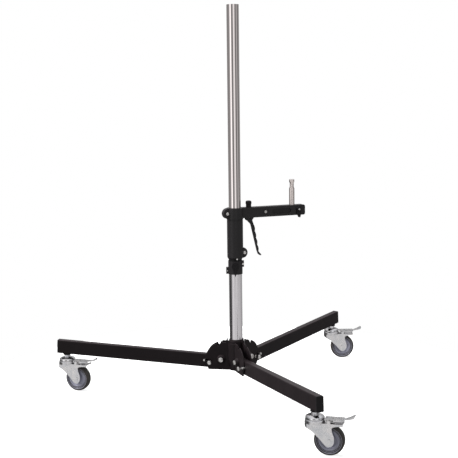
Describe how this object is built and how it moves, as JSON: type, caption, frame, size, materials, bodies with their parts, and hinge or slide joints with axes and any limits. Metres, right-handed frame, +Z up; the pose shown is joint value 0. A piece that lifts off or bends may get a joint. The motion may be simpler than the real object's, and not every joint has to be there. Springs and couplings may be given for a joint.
{
  "type": "rolling column stand",
  "caption": "Rolling studio column stand: telescoping column, sliding arm with a 16 mm spigot, folding legs on braked castors.",
  "frame": {"origin": "on the floor under the column's axis", "axes": "+Z up along the column, +X along the sliding arm, front leg along -Y"},
  "size_m": [1.0193, 0.8647, 1.128],
  "materials": {
    "column_chrome": "polished",
    "column_aluminium": "satin",
    "black_paint": "satin",
    "cast_black": "satin powder coat on cast aluminium",
    "black_plastic": "matte",
    "zinc_steel": "bright plated",
    "castor_zinc": "zinc plated",
    "spigot_steel": "nickel plated",
    "tyre_grey": "matte",
    "wheel_core_grey": "moulded",
    "nylon": "matte",
    "shoe_lining": "matte",
    "buffer_rubber": "matte"
  },
  "bodies": {
    "base": {"hub_plate_back": "black_paint", "hub_plate_left": "black_paint", "hub_plate_right": "black_paint", "hub_socket": "black_paint", "pivot_spacers": "black_paint", "corner_bolts": "zinc_steel", "pivot_bolts": "zinc_steel", "pivot_nuts": "zinc_steel", "lower_column": "column_aluminium", "clamp_collar": "cast_black", "collar_screws": "zinc_steel"},
    "clamp_lever": {"collar_lever": "black_plastic"},
    "column": {"upper_column": "column_chrome", "column_cap": "black_plastic"},
    "slider": {"guide_bush": "nylon"},
    "carriage": {"slide_sleeve": "cast_black", "arm_casting": "cast_black", "roller_bolts": "zinc_steel", "spigot": "spigot_steel", "arm_bolts": "zinc_steel", "buffer_ring": "buffer_rubber", "brake_spring": "zinc_steel"},
    "upper_roller": {"roller_upper": "nylon"},
    "lower_roller": {"roller_lower": "nylon"},
    "trigger": {"brake_lever": "cast_black", "brake_shoe": "shoe_lining"},
    "tension_screw": {"tension_knob": "black_plastic"},
    "spigot_cam": {"spigot_lock": "black_plastic"},
    "leg_front": {"leg_tube_front": "black_paint", "leg_cap_front": "black_plastic", "castor_boss_front": "black_plastic", "castor_stem_front": "castor_zinc", "lock_spring_front": "zinc_steel"},
    "pin_front": {"lock_pin_front": "zinc_steel"},
    "swivel_front": {"castor_fork_front": "castor_zinc", "castor_pins_front": "castor_zinc"},
    "wheel_front": {"tyre_front": "tyre_grey", "wheel_core_front": "wheel_core_grey"},
    "pedal_front": {"brake_pedal_front": "castor_zinc"},
    "leg_right": {"leg_tube_right": "black_paint", "leg_cap_right": "black_plastic", "castor_boss_right": "black_plastic", "castor_stem_right": "castor_zinc", "lock_spring_right": "zinc_steel"},
    "pin_right": {"lock_pin_right": "zinc_steel"},
    "swivel_right": {"castor_fork_right": "castor_zinc", "castor_pins_right": "castor_zinc"},
    "wheel_right": {"tyre_right": "tyre_grey", "wheel_core_right": "wheel_core_grey"},
    "pedal_right": {"brake_pedal_right": "castor_zinc"},
    "leg_left": {"leg_tube_left": "black_paint", "leg_cap_left": "black_plastic", "castor_boss_left": "black_plastic", "castor_stem_left": "castor_zinc", "lock_spring_left": "zinc_steel"},
    "pin_left": {"lock_pin_left": "zinc_steel"},
    "swivel_left": {"castor_fork_left": "castor_zinc", "castor_pins_left": "castor_zinc"},
    "wheel_left": {"tyre_left": "tyre_grey", "wheel_core_left": "wheel_core_grey"},
    "pedal_left": {"brake_pedal_left": "castor_zinc"}
  },
  "joints": [
    {"name": "clamp_turn", "type": "hinge", "parent": "base", "child": "clamp_lever", "pos_m": [0, 0, 0.39], "axis": [-0.3697, -0.9291, 0], "range_deg": [0, 120]},
    {"name": "column_extend", "type": "slide", "parent": "base", "child": "column", "axis": [0, 0, 1], "range_m": [0, 0.16]},
    {"name": "arm_slide", "type": "slide", "parent": "column", "child": "slider", "axis": [0, 0, 1], "range_m": [0, 0.55]},
    {"name": "arm_turn", "type": "hinge", "parent": "slider", "child": "carriage", "pos_m": [0, 0, 0.48], "axis": [0, 0, 1], "continuous": true},
    {"name": "upper_roller_spin", "type": "hinge", "parent": "carriage", "child": "upper_roller", "pos_m": [-0.0256, 0, 0.5401], "axis": [0, 1, 0], "continuous": true},
    {"name": "lower_roller_spin", "type": "hinge", "parent": "carriage", "child": "lower_roller", "pos_m": [0.0256, 0, 0.4247], "axis": [0, 1, 0], "continuous": true},
    {"name": "brake_squeeze", "type": "hinge", "parent": "carriage", "child": "trigger", "pos_m": [0.043, 0, 0.523], "axis": [0, 1, 0], "range_deg": [0, 9], "stiffness_Nm_per_rad": 0.5, "springref_deg": -20.05, "deforming": ["brake_spring"]},
    {"name": "tension_turn", "type": "hinge", "parent": "carriage", "child": "tension_screw", "pos_m": [0.043, 0, 0.56], "axis": [0, 0, 1], "range_deg": [-360, 360]},
    {"name": "spigot_lock_turn", "type": "hinge", "parent": "carriage", "child": "spigot_cam", "pos_m": [0.1972, -0.0145, 0.543], "axis": [0, -1, 0], "range_deg": [0, 90]},
    {"name": "fold_front", "type": "hinge", "parent": "base", "child": "leg_front", "pos_m": [0, -0.043, 0.1108], "axis": [-1, 0, 0], "range_deg": [0, 84]},
    {"name": "lock_front", "type": "slide", "parent": "leg_front", "child": "pin_front", "axis": [0, -0.9979, 0.0651], "range_m": [-0.0083, 0], "deforming": ["lock_spring_front"]},
    {"name": "swivel_front", "type": "hinge", "parent": "leg_front", "child": "swivel_front", "pos_m": [0, -0.516, 0.09], "axis": [0, 0, 1], "continuous": true},
    {"name": "spin_front", "type": "hinge", "parent": "swivel_front", "child": "wheel_front", "pos_m": [0.02912, -0.53716, 0.0385], "axis": [0.5878, 0.809, 0], "continuous": true},
    {"name": "pedal_front", "type": "hinge", "parent": "swivel_front", "child": "pedal_front", "pos_m": [0.02912, -0.53716, 0.0876], "axis": [0.5878, 0.809, 0], "range_deg": [0, 8]},
    {"name": "fold_right", "type": "hinge", "parent": "base", "child": "leg_right", "pos_m": [0.03724, 0.0215, 0.1108], "axis": [0.5, -0.866, 0], "range_deg": [0, 84]},
    {"name": "lock_right", "type": "slide", "parent": "leg_right", "child": "pin_right", "axis": [0.8642, 0.4989, 0.0651], "range_m": [-0.0083, 0], "deforming": ["lock_spring_right"]},
    {"name": "swivel_right", "type": "hinge", "parent": "leg_right", "child": "swivel_right", "pos_m": [0.44687, 0.258, 0.09], "axis": [0, 0, 1], "continuous": true},
    {"name": "spin_right", "type": "hinge", "parent": "swivel_right", "child": "wheel_right", "pos_m": [0.48048, 0.2451, 0.0385], "axis": [0.3584, 0.9336, 0], "continuous": true},
    {"name": "pedal_right", "type": "hinge", "parent": "swivel_right", "child": "pedal_right", "pos_m": [0.48048, 0.2451, 0.0876], "axis": [0.3584, 0.9336, 0], "range_deg": [0, 8]},
    {"name": "fold_left", "type": "hinge", "parent": "base", "child": "leg_left", "pos_m": [-0.03724, 0.0215, 0.1108], "axis": [0.5, 0.866, 0], "range_deg": [0, 84]},
    {"name": "lock_left", "type": "slide", "parent": "leg_left", "child": "pin_left", "axis": [-0.8642, 0.4989, 0.0651], "range_m": [-0.0083, 0], "deforming": ["lock_spring_left"]},
    {"name": "swivel_left", "type": "hinge", "parent": "leg_left", "child": "swivel_left", "pos_m": [-0.44687, 0.258, 0.09], "axis": [0, 0, 1], "continuous": true},
    {"name": "spin_left", "type": "hinge", "parent": "swivel_left", "child": "wheel_left", "pos_m": [-0.42012, 0.23391, 0.0385], "axis": [0.6691, 0.7431, 0], "continuous": true},
    {"name": "pedal_left", "type": "hinge", "parent": "swivel_left", "child": "pedal_left", "pos_m": [-0.42012, 0.23391, 0.0876], "axis": [0.6691, 0.7431, 0], "range_deg": [0, 8]}
  ]
}
